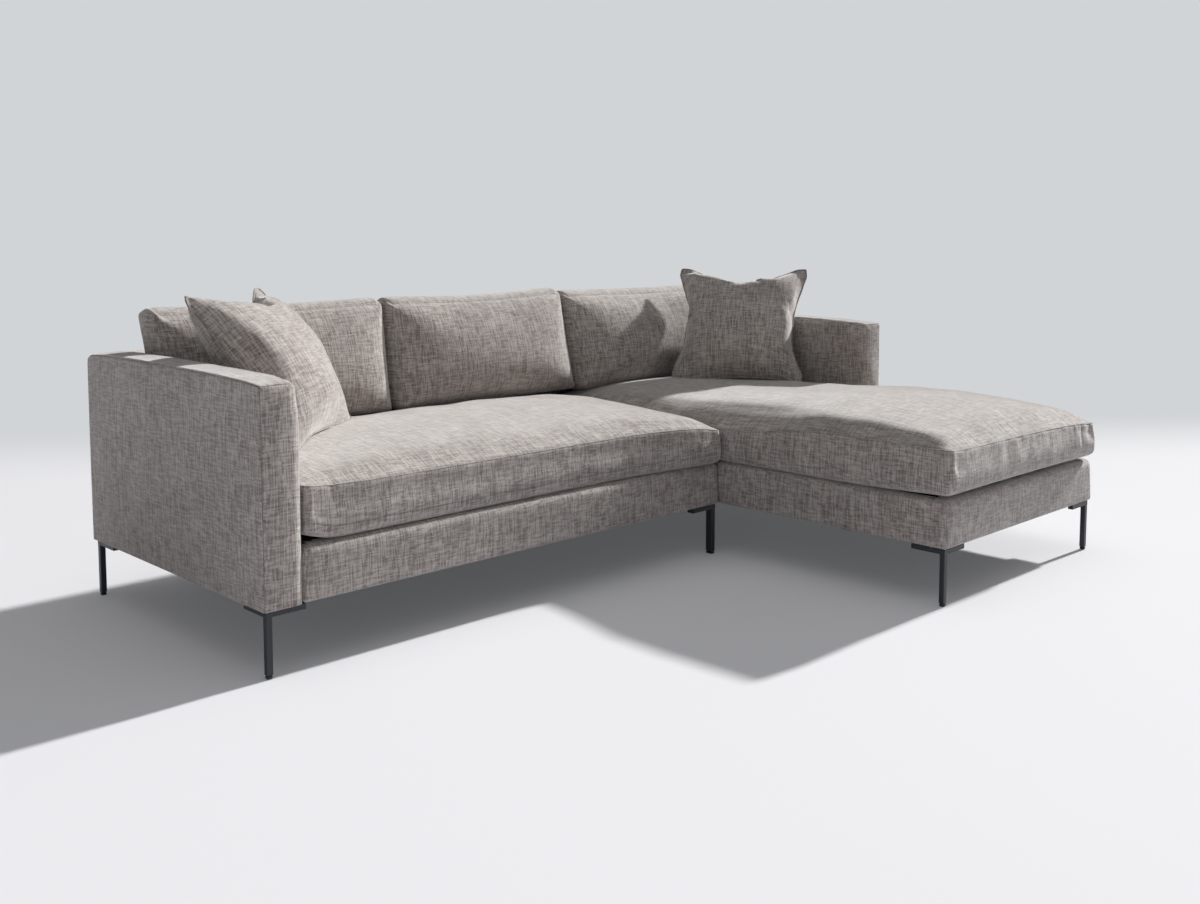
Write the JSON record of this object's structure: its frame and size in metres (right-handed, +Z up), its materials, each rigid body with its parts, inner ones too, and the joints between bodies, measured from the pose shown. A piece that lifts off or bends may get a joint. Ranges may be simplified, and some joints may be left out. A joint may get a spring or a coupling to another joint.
{
  "type": "corner sofa",
  "caption": "Upholstered corner sofa with a chaise on the right, low slim arms, loose seat and back cushions, throw pillows and thin dark metal legs.",
  "frame": {"origin": "on the floor, below the middle of the plan's bounding box", "axes": "+X towards the right arm, on the chaise's side as seen from in front; +Y towards the back; +Z up"},
  "size_m": [2.38, 1.6856, 0.833],
  "materials": {
    "linen_look_fabric": "matte",
    "sawn_pine": "matte",
    "woven_webbing": "matte",
    "black_spunbond": "matte",
    "dark_powder_coat": "satin",
    "black_nylon": "matte",
    "zinc_plated_steel": "satin"
  },
  "bodies": {
    "root": {"bench_seat_cushion": "linen_look_fabric", "chaise_arm_rail": "sawn_pine", "chaise_back_cover": "linen_look_fabric", "chaise_back_cushion": "linen_look_fabric", "chaise_back_frame": "sawn_pine", "chaise_back_rail": "sawn_pine", "chaise_cross_rail": "sawn_pine", "chaise_dust_cover": "black_spunbond", "chaise_front_left_glide": "black_nylon", "chaise_front_left_leg": "dark_powder_coat", "chaise_front_rail": "sawn_pine", "chaise_front_rail_cover": "linen_look_fabric", "chaise_front_right_glide": "black_nylon", "chaise_front_right_leg": "dark_powder_coat", "chaise_inner_rail": "sawn_pine", "chaise_inner_rail_cover": "linen_look_fabric", "chaise_outer_rail": "sawn_pine", "chaise_outer_rail_cover": "linen_look_fabric", "chaise_pillow": "linen_look_fabric", "chaise_rear_left_glide": "black_nylon", "chaise_rear_left_leg": "dark_powder_coat", "chaise_rear_right_glide": "black_nylon", "chaise_rear_right_leg": "dark_powder_coat", "chaise_seat_cushion": "linen_look_fabric", "chaise_seat_deck": "black_spunbond", "chaise_seat_webbing": "woven_webbing", "chaise_stretcher": "sawn_pine", "joining_keeper_1": "zinc_plated_steel", "joining_keeper_2": "zinc_plated_steel", "joining_tongue_1": "zinc_plated_steel", "joining_tongue_2": "zinc_plated_steel", "left_arm_cover": "linen_look_fabric", "left_arm_frame": "sawn_pine", "left_back_cushion": "linen_look_fabric", "left_front_glide": "black_nylon", "left_front_leg": "dark_powder_coat", "left_pillow": "linen_look_fabric", "left_rear_glide": "black_nylon", "left_rear_leg": "dark_powder_coat", "middle_back_cushion": "linen_look_fabric", "middle_front_glide": "black_nylon", "middle_front_leg": "dark_powder_coat", "middle_rear_glide": "black_nylon", "middle_rear_leg": "dark_powder_coat", "right_arm_cover": "linen_look_fabric", "right_arm_frame": "sawn_pine", "sofa_back_cover": "linen_look_fabric", "sofa_back_frame": "sawn_pine", "sofa_back_rail": "sawn_pine", "sofa_dust_cover": "black_spunbond", "sofa_end_rail": "sawn_pine", "sofa_end_rail_cover": "linen_look_fabric", "sofa_front_rail": "sawn_pine", "sofa_front_rail_cover": "linen_look_fabric", "sofa_seat_deck": "black_spunbond", "sofa_seat_webbing": "woven_webbing", "sofa_side_rail": "sawn_pine", "sofa_stretcher": "sawn_pine"}
  },
  "joints": []
}
